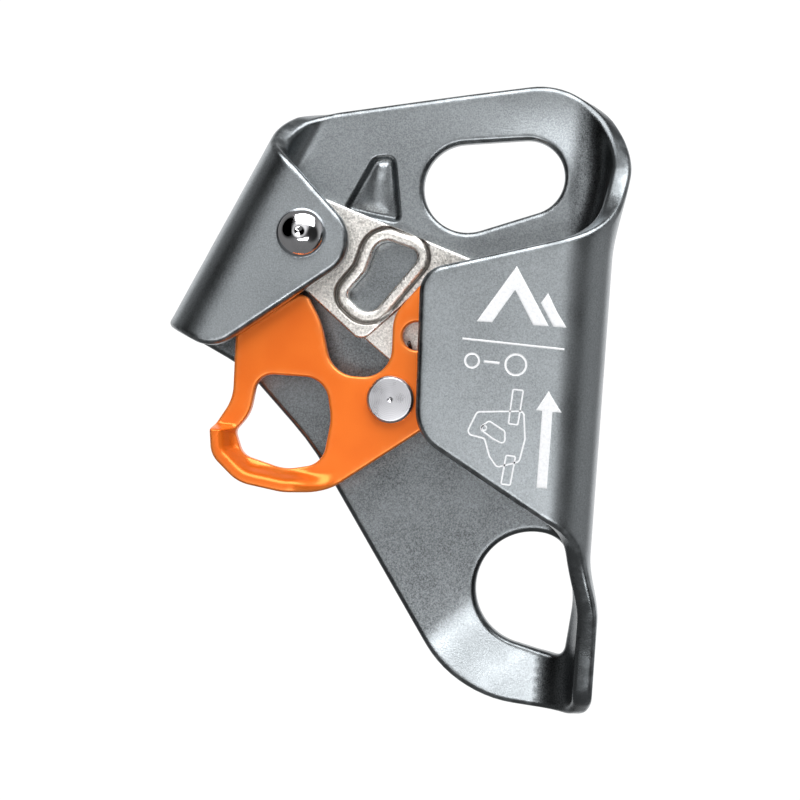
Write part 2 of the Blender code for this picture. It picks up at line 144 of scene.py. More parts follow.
def fine(loop, gap):
    """The outline with each side split into equal parts no longer than the gap."""
    step = np.roll(loop, -1, 0) - loop
    length = np.hypot(*step.T)
    loop, step, length = loop[length > 1e-4], step[length > 1e-4], length[length > 1e-4]
    parts = np.maximum(1, np.ceil(length / gap)).astype(int)
    side = np.repeat(np.arange(len(loop)), parts)
    k = np.arange(parts.sum()) - np.repeat(np.cumsum(parts) - parts, parts)
    return loop[side] + step[side] * (k / parts[side])[:, None]


def left_of(loop):
    """Mitred unit normals to the left of a closed outline."""
    step = np.roll(loop, -1, 0) - loop
    step /= np.hypot(*step.T)[:, None]
    normal = np.stack((-step[:, 1], step[:, 0]), 1)
    mitre = normal + np.roll(normal, 1, 0)
    mitre /= np.hypot(*mitre.T)[:, None]
    return mitre / np.maximum(0.5, (mitre * normal).sum(1))[:, None]


def moved_in(loop, by):
    """A closed outline moved inward by a distance, or outward by a negative one."""
    return loop + by * left_of(loop) if signed_area(loop) > 0 else loop - by * left_of(loop)


def blocks(points, size=1500):
    return np.array_split(points, max(1, len(points) // size))


def distance(points, loop, closed=True):
    """Distance from each point to the nearest side of an outline."""
    ends = np.roll(loop, -1, 0) if closed else loop[1:]
    a = loop if closed else loop[:-1]
    d = ends - a
    out = []
    for some in blocks(points):
        w = some[:, None] - a
        t = np.clip((w * d).sum(2) / np.maximum((d * d).sum(1), 1e-12), 0, 1)
        out.append(np.sqrt(((w - t[..., None] * d) ** 2).sum(2)).min(1))
    return np.concatenate(out)


def inside(points, loops):
    """Whether a line from each point to the right crosses the outlines an odd number of times."""
    out = []
    for some in blocks(points):
        x, z = some[:, :1], some[:, 1:]
        odd = np.zeros(len(some), int)
        for loop in loops:
            ax, az = loop.T
            bx, bz = np.roll(loop, -1, 0).T
            spans = (az > z) != (bz > z)
            rise = np.where(bz == az, 1.0, bz - az)
            odd += (spans & (x < (bx - ax) * (z - az) / rise + ax)).sum(1)
        out.append(odd % 2 == 1)
    return np.concatenate(out)


def depth_in(points, loop):
    """Distance inside an outline, negative outside it."""
    away = distance(points, loop)
    return np.where(inside(points, [loop]), away, -away)


def lattice(loop, gap):
    """Points in rows over an outline's box, every other row moved by half a gap."""
    low, high = loop.min(0) - gap, loop.max(0) + gap
    z = np.arange(low[1], high[1], gap * math.sqrt(3) / 2)
    x = np.arange(low[0], high[0], gap)
    shift = (np.arange(len(z)) % 2)[:, None] * gap / 2
    return np.stack(np.broadcast_arrays(x + shift, z[:, None]), 2).reshape(-1, 2)


# ---- Meshes -----------------------------------------------------------------------


def build(name, points, triangles, quads=(), edge_wear_and_shade=None, painted_shade=None, body="frame", slot=None):
    """Piece from points in millimetres and its faces, turned outward by its signed volume."""
    quads = np.array(quads, int).reshape(-1, 4)
    faces = np.vstack([np.array(triangles, int).reshape(-1, 3), quads[:, :3], quads[:, [0, 2, 3]]])
    volume = np.linalg.det(points[faces] - points.mean(0)).sum()
    if volume < 0:
        triangles = np.array(triangles, int).reshape(-1, 3)[:, ::-1]
        quads = quads[:, ::-1]
    mesh = bpy.data.meshes.new(name)
    mesh.from_pydata((points * MM).tolist(), [], np.array(triangles, int).tolist() + quads.tolist())
    mesh.shade_smooth()
    # Point attributes for the materials: the edge band, and the painted shade that darkens inner faces and
    # the cam's groove.
    for label, values in (("edge_wear_and_shade", edge_wear_and_shade), ("painted_shade", painted_shade)):
        layer = mesh.attributes.new(label, "FLOAT", "POINT")
        values = np.zeros(len(points)) if values is None else values
        layer.data.foreach_set("value", np.asarray(values, np.float32))
    obj = bpy.data.objects.new(name, mesh)
    bpy.context.scene.collection.objects.link(obj)
    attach(obj, body)
    return obj


def shells(*parts):
    """Several closed shells as one: points stacked, faces renumbered."""
    points, triangles, quads, edge_wear_and_shade, painted_shade, start = [], [], [], [], [], 0
    for p, t, q, w, g in parts:
        points.append(p)
        triangles.append(t + start)
        quads.append(q + start)
        edge_wear_and_shade.append(w)
        painted_shade.append(g)
        start += len(p)
    return tuple(np.concatenate(x) for x in (points, triangles, quads, edge_wear_and_shade, painted_shade))


def outward(points, triangles, quads):
    """Turns one shell's faces round where its signed volume is negative."""
    faces = np.vstack([triangles, quads[:, :3], quads[:, [0, 2, 3]]])
    if np.linalg.det(points[faces] - points.mean(0)).sum() < 0:
        return triangles[:, ::-1], quads[:, ::-1]
    return triangles, quads


def upright(u, v, n):
    return np.stack((u, n, v), 1)


def sheet(outline, holes, low, high, edge, place=upright, gap=0.8, grid=1.2, extra=(), steps=5, painted_shade_at=None):
    """Closed shell of a cut sheet. Its two faces are the filled outline at heights low(u, v)
    and high(u, v). A quarter circle of radius edge joins each face to the cut side: at angle
    t it is edge * (1 - cos t) inside the outline and edge * (1 - sin t) below the face."""
    low_of = low if callable(low) else lambda u, v: np.full(len(u), float(low))
    high_of = high if callable(high) else lambda u, v: np.full(len(u), float(high))
    loops = [fine(outline if signed_area(outline) > 0 else outline[::-1], gap)]
    loops += [fine(h if signed_area(h) < 0 else h[::-1], gap) for h in holes]
    rim = np.vstack(loops)
    inward = np.vstack([left_of(loop) for loop in loops])
    tight = [loop + edge * left_of(loop) for loop in loops]
    second = np.vstack([loop + (edge + 0.45 * gap) * left_of(loop) for loop in loops])
    free = np.vstack([second, lattice(tight[0], grid), *extra])
    fits = inside(free, tight)
    away = np.min([distance(free, loop) for loop in tight], axis=0)
    fits &= away > np.where(np.arange(len(free)) < len(second), 0.3, 0.75) * gap
    if len(extra):
        special = np.vstack(extra)
        lone = np.arange(len(free)) < len(free) - len(special)
        near = np.concatenate(
            [np.hypot(*(some[:, None] - special).transpose(2, 0, 1)).min(1) for some in blocks(free)]
        )
        fits &= ~lone | (near > 0.5 * gap)
    flat = np.vstack([*tight, free[fits]])
    ring = len(rim)
    starts = np.cumsum([0] + [len(loop) for loop in loops])
    after = np.concatenate([s + np.roll(np.arange(len(p)), -1) for s, p in zip(starts, loops)])
    edges = np.stack((np.arange(ring), after), 1)
    found = geometry.delaunay_2d_cdt([Vector(p) for p in flat], edges.tolist(), [], 0, 1e-6, True)
    spots, cells = np.array(found[0]), np.array(found[2])
    source = np.array([ids[0] if ids else -1 for ids in found[3]])
    corners = spots[cells]
    a, b = corners[:, 1] - corners[:, 0], corners[:, 2] - corners[:, 0]
    solid = (np.abs(a[:, 0] * b[:, 1] - a[:, 1] * b[:, 0]) > 1e-5) & inside(corners.mean(1), tight)
    cells = source[cells[solid]]
    heights = [(flat, high_of(*flat.T)), (flat, low_of(*flat.T))]
    points = [place(*p.T, n) for p, n in heights]
    count = len(flat)
    rows = [np.arange(ring)]
    angles = np.linspace(math.pi / 2, 0, steps + 1)[1:]
    for face, sign, order in ((high_of, -1, angles), (low_of, 1, angles[::-1])):
        for t in order:
            spot = rim + inward * edge * (1 - math.cos(t))
            points.append(place(*spot.T, face(*spot.T) + sign * edge * (1 - math.sin(t))))
            rows.append(2 * count + (len(rows) - 1) * ring + np.arange(ring))
    rows.append(count + np.arange(ring))
    quads = np.vstack([np.stack((a, a[after], b[after], b), 1) for a, b in zip(rows, rows[1:])])
    triangles = np.vstack([cells, cells[:, ::-1] + count])
    points = np.vstack(points)
    reach = np.concatenate([np.zeros(ring), away[fits]])
    # Edge band, 1 on the rounded sides and fading within 0.7 of the rim: wear on the cast steel, lighter
    # bevels on the orange, painted shade on the frame.
    flat_edge_band = 0.5 * smooth(1 - reach / 0.7)
    edge_wear_and_shade = np.concatenate([flat_edge_band, flat_edge_band, np.ones(len(points) - 2 * count)])
    # Painted shade from the given function: one value for each face, and each rounded side row copies the
    # rim of its face.
    painted_shade = np.zeros(len(points))
    if painted_shade_at is not None:
        painted_shade[:count], painted_shade[count : 2 * count] = painted_shade_at(flat)
        for k in range(0, len(points) - 2 * count, ring):
            at = painted_shade[:ring] if k < (len(rows) // 2 - 1) * ring else painted_shade[count : count + ring]
            painted_shade[2 * count + k : 2 * count + k + ring] = at
    first = cells[0]
    check = points[first]
    lift = place(*flat[first[:1]].T, heights[0][1][first[:1]] + 0.1)[0] - check[0]
    # The side rows run from the high face to the low one, so only one of the two is turned.
    if np.cross(check[1] - check[0], check[2] - check[0]) @ lift < 0:
        triangles = triangles[:, ::-1]
    else:
        quads = quads[:, ::-1]
    return points, triangles, quads, edge_wear_and_shade, painted_shade


def turned(profile, x, z, count=96):
    """Solid of revolution on an axis along Y: (radius, y) points carried round the circle;
    an end at radius 0 closes on the axis, and a profile off the axis closes on itself."""
    profile = np.array(profile, float)
    on_axis = profile[0, 0] < 1e-6
    t = np.arange(count) * 2 * math.pi / count
    r, y = profile.T
    grid = np.stack(np.broadcast_arrays(x + np.outer(np.cos(t), r), y, z + np.outer(np.sin(t), r)), 2)
    rows = len(profile)
    nxt = (np.arange(count) + 1) % count
    if on_axis:
        points = np.vstack([grid[:, 1:-1].reshape(-1, 3), grid[0, 0], grid[0, -1]])
        inner = rows - 2
        k, i = np.meshgrid(np.arange(count), np.arange(inner - 1), indexing="ij")
        k, i = k.ravel(), i.ravel()
        quads = np.stack((k * inner + i, k * inner + i + 1, nxt[k] * inner + i + 1, nxt[k] * inner + i), 1)
        k = np.arange(count)
        top = np.stack((np.full(count, count * inner), k * inner, nxt * inner), 1)
        last = inner - 1
        end = np.stack((np.full(count, count * inner + 1), nxt * inner + last, k * inner + last), 1)
        triangles = np.vstack([top, end])
    else:
        points = grid.reshape(-1, 3)
        k, i = np.meshgrid(np.arange(count), np.arange(rows), indexing="ij")
        k, i = k.ravel(), i.ravel()
        j = (i + 1) % rows
        quads = np.stack((k * rows + i, k * rows + j, nxt[k] * rows + j, nxt[k] * rows + i), 1)
        triangles = np.zeros((0, 3), int)
    triangles, quads = outward(points, triangles, quads)
    return points, triangles, quads, np.zeros(len(points)), np.zeros(len(points))


def soft_corners(profile, r, steps=4, closed=False):
    """A turned profile with its corners rounded: each is replaced by a short curve that
    blends the points a distance r before and after it (quadratic Bezier)."""
    profile = np.array(profile, float)
    runs = []
    for i, here in enumerate(profile):
        if not closed and i in (0, len(profile) - 1):
            runs.append(here[None])
            continue
        a, b = profile[i - 1] - here, profile[(i + 1) % len(profile)] - here
        a *= min(r, 0.45 * np.hypot(*a)) / np.hypot(*a)
        b *= min(r, 0.45 * np.hypot(*b)) / np.hypot(*b)
        t = np.linspace(0, 1, steps + 1)[:, None]
        runs.append(here + a * (1 - t) ** 2 + b * t**2)
    return np.vstack(runs)


def wire(path, radius, sides=14):
    """Round wire: a circle carried along a smooth path, square to it at every point."""
    path = np.array(path, float)
    ahead = np.gradient(path, axis=0)
    ahead /= np.linalg.norm(ahead, axis=1)[:, None]
    across = np.cross(ahead, (0.0, 1.0, 0.0))
    upright_part = np.linalg.norm(across, axis=1) < 0.2
    across[upright_part] = np.cross(ahead[upright_part], (1.0, 0.0, 0.3))
    across /= np.linalg.norm(across, axis=1)[:, None]
    other = np.cross(ahead, across)
    t = np.arange(sides) * 2 * math.pi / sides
    ring = across[:, None] * np.cos(t)[:, None] + other[:, None] * np.sin(t)[:, None]
    size = radius * np.ones(len(path))
    size[[0, -1]] *= 0.8
    points = (path[:, None] + ring * size[:, None, None]).reshape(-1, 3)
    points = np.vstack([points, path[0], path[-1]])
    i, k = np.meshgrid(np.arange(len(path) - 1), np.arange(sides), indexing="ij")
    i, k = i.ravel(), k.ravel()
    j = (k + 1) % sides
    quads = np.stack((i * sides + k, i * sides + j, (i + 1) * sides + j, (i + 1) * sides + k), 1)
    k = np.arange(sides)
    j, last, count = (k + 1) % sides, (len(path) - 1) * sides, len(path) * sides
    start = np.stack((np.full(sides, count), j, k), 1)
    end = np.stack((np.full(sides, count + 1), last + k, last + j), 1)
    triangles, quads = outward(points, np.vstack([start, end]), quads)
    return points, triangles, quads, np.zeros(len(points)), np.zeros(len(points))


def through(points, count=60):
    """Smooth path through a few points: Catmull-Rom, cubic between each pair."""
    p = np.array(points, float)
    p = np.vstack([2 * p[0] - p[1], p, 2 * p[-1] - p[-2]])
    s = np.linspace(0, len(p) - 3 - 1e-9, count)
    i = s.astype(int)
    t = (s - i)[:, None]
    a, b, c, d = p[i], p[i + 1], p[i + 2], p[i + 3]
    return 0.5 * (2 * b + (c - a) * t + (2 * a - 5 * b + 4 * c - d) * t**2 + (3 * b - a - 3 * c + d) * t**3)


# ---- The folded frame -------------------------------------------------------------


def bell(u, v):
    """How far the plate leans outward at the two mouths of the rope channel."""
    side = smooth(u / 10.0)
    top = 1.5 * smooth((v - 80.0) / 18.0) * smooth((u + 24.0) / 22.0) * (1 - side)
    top += 2.6 * smooth((v - 66.0) / 20.0) * side
    reach = 0.715 * (u + 21.6) - 0.7 * (v + 10.8)
    low = 2.1 * smooth(reach / 18.0) * smooth((24.0 - v) / 20.0) * (1 - side)
    low += 2.3 * smooth((8.0 - v) / 13.0) * side
    end = RIGHT_START + RIGHT_TURN
    return (top + low) * (1 - 0.75 * smooth((u - end + 8.0) / 14.0))


def folded(u, v, n):
    """Flat pattern to folded plate. Past the left fold line the pattern turns half round at
    LEFT_MID + n; past the right one it turns a quarter, runs down the wall and turns again."""
    q = u * AWAY[0] + v * AWAY[1] - LEFT_START
    p = u * ALONG[0] + v * ALONG[1]
    turn = np.clip(q / LEFT_MID, 0, math.pi)
    reach = LEFT_START + (LEFT_MID + n) * np.sin(turn) - np.maximum(q - LEFT_TURN, 0)
    y_left = -PLATE / 2 - LEFT_R + (LEFT_MID + n) * np.cos(turn)
    x_left, z_left = reach * AWAY[0] + p * ALONG[0], reach * AWAY[1] + p * ALONG[1]
    s = u - RIGHT_START
    m = n + bell(u, v)
    quarter = math.pi / 2 * RIGHT_MID
    first = np.clip(s / RIGHT_MID, 0, math.pi / 2)
    wall = np.clip(s - quarter, 0, RIGHT_WALL)
    second = np.clip((s - quarter - RIGHT_WALL) / RIGHT_MID, 0, math.pi / 2)
    x = np.minimum(u, RIGHT_START) - np.maximum(s - RIGHT_TURN, 0)
    x += (RIGHT_MID + m) * (np.sin(first) + np.cos(second) - 1)
    y = -PLATE / 2 - RIGHT_R - wall + (RIGHT_MID + m) * (np.cos(first) - np.sin(second))
    left = q > 0
    return np.stack(
        (np.where(left, x_left, x), np.where(left, y_left, y), np.where(left, z_left, v)), 1
    )


def frame_outline():
    return rounded(
        [
            (2.4, 102.5, 15.0),
            (*from_fold(87.5, 59.9), 5.0),
            (*from_fold(94.0, 53.2), 7.0),
            (*from_fold(121.1, 43.7), 7.5),
            (*from_fold(104.0, 11.0), 7.0),
            (*from_fold(84.0, 10.4), 40.0),
            (-61.5, 40.0, 24.0),
            (-46.5, 25.3, 60.0),
            (-14.0, -22.5, 24.0),
            (10.0, -24.3, 5.0),
            (14.8, -20.6, 6.0),
            (18.6, -3.0, 30.0),
            (21.5, 10.3, 30.0),
            (54.7, 29.2, 9.0),
            (56.0, 61.2, 5.5),
            (22.1, 71.1, 22.0),
        ]
    )


def lower_hole():
    """Round hole; beside the bend it is cut short, with a corner drawn out below."""
    beside = rounded([(-2.0, -11.2, 0), (6.9, -13.4, 2.4), (8.2, -4.0, 12.0), (10.7, 3.9, 0)])
    return np.vstack([arc(0, 0, LOWER_HOLE, 20, 260, 64), beside[1:-1]])


def pocket_outline():
    corners = [(-34.0, 84.9, 1.8), (-38.2, 84.3, 2.2), (-43.7, 73.0, 1.4), (-31.7, 71.2, 1.3)]
    return rounded(corners, 8.0)


def folded_plate():
    """The plate: one flat pattern, folded. The pressed pocket sinks its front face with the
    distance from the pocket's outline, steep at the wall and crowned along the middle."""
    pocket = fine(pocket_outline(), 0.5)
    middle = pocket.mean(0)

    def dent(points):
        deep = depth_in(points, pocket)
        wall = smooth((deep + 0.2) / 1.1)
        crown = 0.6 * np.exp(-(((points[:, 0] - middle[0] + 0.1) / 2.6) ** 2))
        return (POCKET_DEPTH - crown * smooth((deep - 0.6) / 2.5)) * wall

    def front(u, v):
        n = np.full(len(u), -PLATE / 2)
        near = (np.abs(u - middle[0]) < 12) & (np.abs(v - middle[1]) < 12)
        if near.any():
            n[near] += dent(np.stack((u[near], v[near]), 1))
        return n

    def painted_shade_at(points):
        """Painted shade: none on the outer face; the inner one darkens down the plate, round the pocket and
        along the channel, and less at the lower tip.
        """
        deep = depth_in(points, pocket)
        low = smooth((86.0 - points[:, 1]) / 60.0)
        reach = 0.715 * (points[:, 0] + 20.0) - 0.7 * (points[:, 1] + 9.0)
        tip = smooth(reach / 5.0) * (points[:, 0] < RIGHT_START)
        foot = smooth((80.0 - points[:, 1]) / 7.0)
        wall = smooth((deep + 0.5) / 0.6) * smooth((2.0 + 1.2 * foot - deep) / 1.6) * (0.5 + 0.5 * foot)
        channel = smooth((points[:, 0] - 1.2) / 2.2)
        inner = 0.25 + 0.65 * low * (1 - tip) - 0.25 * tip + 0.9 * wall + 0.75 * channel
        return np.zeros(len(points)), np.clip(inner, 0, 1)

    turned_over = 2 * LEFT_START + LEFT_TURN - np.array(PIVOT) @ AWAY
    ear_hole = from_fold(turned_over, np.array(PIVOT) @ ALONG)
    holes = [
        lower_hole(),
        hull_of_two(TOP_A, TOP_B),
        circle(*PIVOT, RIVET_BORE, 30),
        circle(*ear_hole, RIVET_BORE, 30),
    ]
    rings = []
    for by in (-0.5, -0.2, 0.1, 0.4, 0.7, 1.0, 1.4, 2.0):
        ring = moved_in(pocket, by)
        rings.append(ring[distance(ring, pocket) > abs(by) * 0.9])
    parts = sheet(
        frame_outline(), holes, front, PLATE / 2, ROUND, folded, gap=0.9, grid=1.15, extra=rings, painted_shade_at=painted_shade_at
    )
    obj = build("folded_plate", *parts, body="frame", slot="frame_plate")
    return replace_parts(obj, "frame_plate")


# ---- The cam ----------------------------------------------------------------------


def spiral(angle, less=0.0):
    """Points of the gripping face at angles in degrees from the pivot: a logarithmic spiral,
    radius R * exp(tan(18 deg) * (start - angle))."""
    t = np.radians(np.asarray(angle, float))
    r = SPIRAL_R * np.exp((math.radians(SPIRAL_AT) - t) * SPIRAL_TAN) - less
    return np.stack((PIVOT[0] + r * np.cos(t), PIVOT[1] + r * np.sin(t)), -1)


def window_outline():
    return rounded(
        [
            (-37.6, 61.0, 5.0),
            (-41.4, 55.9, 1.8),
            (-36.4, 51.6, 3.0),
            (-26.2, 65.4, 2.0),
            (-35.6, 68.0, 3.0),
        ]
    )


def web_outline():
    """Raised web: hub, rim round the window, beam to the gripping face."""
    lower = rounded(
        [
            (-40.6, 48.6, 0.0),
            (-37.0, 47.0, 3.5),
            (-27.3, 56.9, 5.0),
            (-13.0, 57.5, 5.0),
            (-5.0, 41.0, 3.0),
            (2.7, 40.4, 0.0),
        ]
    )
    return np.vstack([arc(*PIVOT, 8.3, 74, 234, 33), lower[1:-1], spiral(np.linspace(-27, -9.6, 14), 2.6)])


def lug_outline():
    """Lower layer of the cam, round the catch's axis and behind the gripping face. Its upper
    side runs under the rim between the window and the web's lower edge."""
    right = rounded(
        [
            (-28.0, 29.8, 0),
            (-4.5, 38.0, 2.0),
            (-4.0, 52.0, 1.0),
            (-12.0, 60.0, 2.0),
            (-20.0, 62.0, 3.0),
            (-26.6, 60.3, 3.0),
            (-36.2, 49.3, 1.0),
            (-41.5, 51.0, 0),
        ]
    )
    return np.vstack([[(-41.5, 51.0), (-31.0, 43.1)], arc(*LINK, 6.3, 98, 290, 40), right[1:-1]])


def teeth():
    """Cones on the gripping face, in rows a step apart along the spiral, tips leaning down."""
    rows, columns, sides = 12, 4, 12
    angle = np.repeat(-26.6 + 1.5 * np.arange(rows), columns)
    column = np.tile(np.arange(columns), rows)
    shift = np.repeat(np.arange(rows) % 2, columns) * 0.9
    y = -5.4 - 1.85 * column - shift
    base, tip = spiral(angle, 1.5), spiral(angle - 0.55, 0.1)
    out = np.stack((tip[:, 0] - base[:, 0], np.zeros(len(y)), tip[:, 1] - base[:, 1]), 1)
    out /= np.linalg.norm(out, axis=1)[:, None]
    side = np.cross(out, (0.0, 1.0, 0.0))
    t = np.arange(sides) * 2 * math.pi / sides
    ring = side[:, None] * np.cos(t)[:, None] + np.array((0.0, 1.0, 0.0)) * np.sin(t)[:, None]
    foot = np.stack((base[:, 0], y, base[:, 1]), 1)
    high = np.stack((tip[:, 0], y, tip[:, 1]), 1)
    count = len(y)
    lows = foot[:, None] + ring * 0.78
    mids = high[:, None] + ring * 0.16 - out[:, None] * 0.12
    points = np.concatenate([lows, mids, foot[:, None], high[:, None]], 1)
    per = 2 * sides + 2
    k = np.arange(sides)
    j = (k + 1) % sides
    quads = np.stack((k, j, sides + j, sides + k), 1)
    foot_cap = np.stack((np.full(sides, 2 * sides), j, k), 1)
    tip_cap = np.stack((np.full(sides, per - 1), sides + k, sides + j), 1)
    caps = np.vstack([foot_cap, tip_cap])
    start = (np.arange(count) * per)[:, None, None]
    points = points.reshape(-1, 3)
    triangles, quads = outward(points[:per], caps, quads)
    triangles, quads = (start + triangles).reshape(-1, 3), (start + quads).reshape(-1, 4)
    return points, triangles, quads, np.full(len(points), 0.9), np.zeros(len(points))


def toothed_cam():
    """Web with a sunk, crowned ring round its window, lug, toothed rim and pin boss."""
    window = fine(window_outline(), 0.6)

    def sink(points):
        """Depth of the ring: a crown from the window's edge, a groove, then the rim's wall."""
        d = distance(points, window)
        crown = 0.55 + 0.25 * ((d - 1.3) / 1.3) ** 2
        groove = 0.35 * np.exp(-(((d - 2.45) / 0.28) ** 2))
        return np.where(d < 2.9, (crown + groove) * smooth((2.85 - d) / 0.4), 0.0)

    def front(u, v):
        return CAM_FRONT + sink(np.stack((u, v), 1))

    # Painted shade in the groove round the window, the same on both faces.
    def painted_shade_at(points):
        d = distance(points, window)
        groove = np.exp(-(((d - 2.55) / 0.35) ** 2))
        return groove, groove

    rings = []
    for by in (1.2, 1.6, 2.0, 2.25, 2.45, 2.62, 2.8, 3.0):
        ring = moved_in(window, -by)
        rings.append(ring[distance(ring, window) > by * 0.93])
    web = sheet(
        web_outline(), [window_outline(), circle(*PIVOT, SLEEVE_BORE, 60)], front, CAM_REAR, 0.45,
        gap=0.55, grid=0.9, extra=rings, painted_shade_at=painted_shade_at,
    )
    lug = sheet(lug_outline(), [circle(*LINK, PIN_BORE, 40)], LUG_FRONT, CAM_REAR - 0.05, 0.3, gap=0.8)
    rim_back = spiral(np.linspace(-9.2, -27.4, 16), 5.2)
    rim = np.vstack([spiral(np.linspace(-27.6, -9.0, 40), 1.3), rim_back])
    face = sheet(rim, [], TOOTH_FRONT, -4.6, 0.35, gap=0.7)
    wall = [(PIN_BORE, CAM_FRONT), (4.0, CAM_FRONT), (4.0, -4.5), (PIN_BORE, -4.5)]
    boss = turned(soft_corners(wall, 0.2, closed=True), *LINK)
    obj = build("toothed_cam", *shells(web, lug, face, teeth(), boss), body="cam", slot="cam")
    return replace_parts(obj, "cam")


# ---- The trigger catch ------------------------------------------------------------


def catch_outline():
    return rounded(
        [
            (-62.3, 48.0, 4.5),
            (-61.9, 33.6, 9.0),
            (-65.4, 27.6, 2.5),
            (-64.7, 22.2, 5.0),
            (-59.0, 17.2, 8.0),
            (-50.0, 15.9, 12.0),
            (-41.9, 16.4, 12.0),
            (-20.0, 32.8, 6.0),
            (-20.0, 59.5, 3.0),
            (-26.0, 58.9, 2.0),
            (-31.0, 52.4, 7.0),
            (-30.6, 39.8, 6.2),
            (-42.4, 39.8, 6.0),
            (-45.4, 50.0, 16.0),
            (-49.0, 56.0, 2.0),
        ]
    )


def finger_hole():
    return rounded(
        [
            (-57.2, 39.0, 3.6),
            (-58.2, 31.0, 8.0),
            (-61.0, 27.2, 1.6),
            (-59.2, 22.6, 3.5),
            (-50.5, 20.3, 9.0),
            (-43.0, 22.0, 4.5),
            (-41.9, 31.0, 10.0),
            (-43.6, 39.0, 5.0),
        ]
    )


def trigger_catch():
    """Flat plate with a lip under the finger hole: the front face rises towards the outer
    edge over a short slope, starts at a step on the left and runs out on the right."""
    outer = fine(catch_outline(), 0.8)

    def lip(u, v):
        points = np.stack((u, v), 1)
        run_out = smooth((-39.0 - u) / 10.0)
        start = smooth((28.6 - v) / 1.5)
        width = 0.3 + 1.5 * run_out
        return smooth((width + 2.6 - distance(points, outer)) / 2.6) * run_out * start

    def front(u, v):
        return CATCH_FRONT + (LIP_FRONT - CATCH_FRONT) * lip(u, v)

    by_lip = (outer[:, 1] < 30) & (outer[:, 0] < -37)
    rings = [moved_in(outer, by)[by_lip] for by in (1.0, 1.5, 2.0, 2.4, 2.8, 3.2, 3.6, 4.0, 4.4)]
    grid_x, grid_z = np.meshgrid(np.linspace(-66, -57, 22), np.linspace(26.8, 28.8, 9))
    rings.append(np.stack((grid_x.ravel(), grid_z.ravel()), 1))
    holes = [finger_hole(), circle(*LINK, PIN_BORE, 40), circle(*CATCH_HOLE, 48)]
    parts = sheet(catch_outline(), holes, front, CATCH_REAR, 0.5, gap=0.6, grid=1.0, extra=rings)
    obj = build("trigger_catch", *parts, body="catch", slot="catch")
    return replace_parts(obj, "catch")


# ---- Rivets, sleeve, washers and springs ------------------------------------------


def pivot_rivet():
    """Polished dome with a punch mark, shank through both plates, low head at the back."""
    front, back = EAR_OUTER - 0.06, PLATE / 2 + 0.06
    t = np.linspace(0, math.pi / 2, 26)
    r = HEAD_R * np.cos(t)
    y = front - 0.3 - 3.2 * np.sin(t)
    y += 0.45 * np.exp(-((r / 0.75) ** 2))
    dome = np.stack((r, y), 1)
    dome[-1, 0] = 0.0
    rear = soft_corners(
        [(0.0, back + 2.0), (3.2, back + 1.85), (4.6, back + 1.0), (HEAD_R, back), (3.0, back)], 0.6
    )
    profile = np.vstack([rear, [(3.0, front), (4.75, front)], dome])
    obj = build("pivot_rivet", *turned(profile, *PIVOT, 128), body="frame", slot="cam_rivet")
    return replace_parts(obj, "cam_rivet")


def catch_pin():
    """Flat turned head in front with a bevelled rim, tail closed in the back of the cam."""
    front, back = CATCH_FRONT - 0.08, CAM_REAR - 0.1
    top = front - 1.8
    head = soft_corners(
        [(2.5, front), (4.55, front), (4.7, front - 1.35), (4.28, top), (0.7, top), (0.0, top)], 0.12
    )
    mark = [(0.55, top), (0.3, front - 1.62), (0.0, front - 1.55)]
    profile = np.vstack([[(0.0, back), (3.9, back), (2.5, -4.4)], head[:-1], mark])
    obj = build("catch_pin", *turned(profile, *LINK, 96), body="catch_link", slot="catch_rivet")
    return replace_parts(obj, "catch_rivet")


def ring_piece(name, node, body, centre, inner, outer, y0, y1, corner):
    """Turned ring with softened corners."""
    profile = soft_corners([(inner, y0), (outer, y0), (outer, y1), (inner, y1)], corner, closed=True)
    obj = build(name, *turned(profile, *centre), body=body, slot=node)
    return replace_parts(obj, node)


def helix(x, z, r, y0, y1, start, turns, count):
    """Coil: a circle of radius r while y runs evenly from y0 to y1."""
    t = math.radians(start) + np.linspace(0, 2 * math.pi * turns, count)
    return np.stack((x + r * np.cos(t), np.linspace(y0, y1, count), z + r * np.sin(t)), 1)


def torsion_spring(name, node, body, leg, coil, tail, radius):
    path = np.vstack([leg, coil[::6], tail])
    obj = build(name, *wire(through(path, 420), radius), body=body, slot=node)
    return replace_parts(obj, node)


def springs():
    x, z = PIVOT
    hx, hz = CAM_LEG_HOLE
    cam_spring = torsion_spring(
        "cam_torsion_spring", "cam_spring", "frame",
        [(hx, -6.2, hz), (hx, -7.0, hz), (hx - 0.2, -7.5, hz + 0.15)],
        helix(x, z, 4.95, -7.62, -9.86, -35.0, 2.25, 181),
        [(x - 3.6, -9.88, z + 5.2), (x - 7.5, -9.4, z + 3.0), (x - 10.6, -8.2, z + 1.0)],
        0.5,
    )
    x, z = LINK
    hx, hz = CATCH_LEG_HOLE
    ex, ez = CATCH_HOLE[0] - 1.5, CATCH_HOLE[1] - 1.6
    catch_spring = torsion_spring(
        "catch_torsion_spring", "catch_spring", "cam",
        [(hx, -4.4, hz), (hx, -5.4, hz), (hx + 0.3, -5.8, hz + 0.35)],
        helix(x, z, 4.65, -5.86, -6.72, 225.0, 1.4, 121),
        [(x + 4.4, -6.74, z + 4.5), (ex, -6.74, ez - 0.25), (ex, -7.3, ez), (ex, -9.2, ez)],
        0.34,
    )
    return cam_spring, catch_spring


# ---- Printed marks ----------------------------------------------------------------


def on_flange(x, z, n):
    """Point of the flange's front, x and z as seen from the front."""
    return folded(FLAT_X - x, z, n)


def stroke(path, width, closed=False):
    """Band of a given width along a path: its outline, and its inner outline if closed."""
    path = np.array(path, float)
    if closed:
        side = left_of(path) * width / 2
        return path + side, [path - side]
    step = np.gradient(path, axis=0)
    step /= np.hypot(*step.T)[:, None]
    side = np.stack((-step[:, 1], step[:, 0]), 1) * width / 2
    return np.vstack([path + side, (path - side)[::-1]]), []


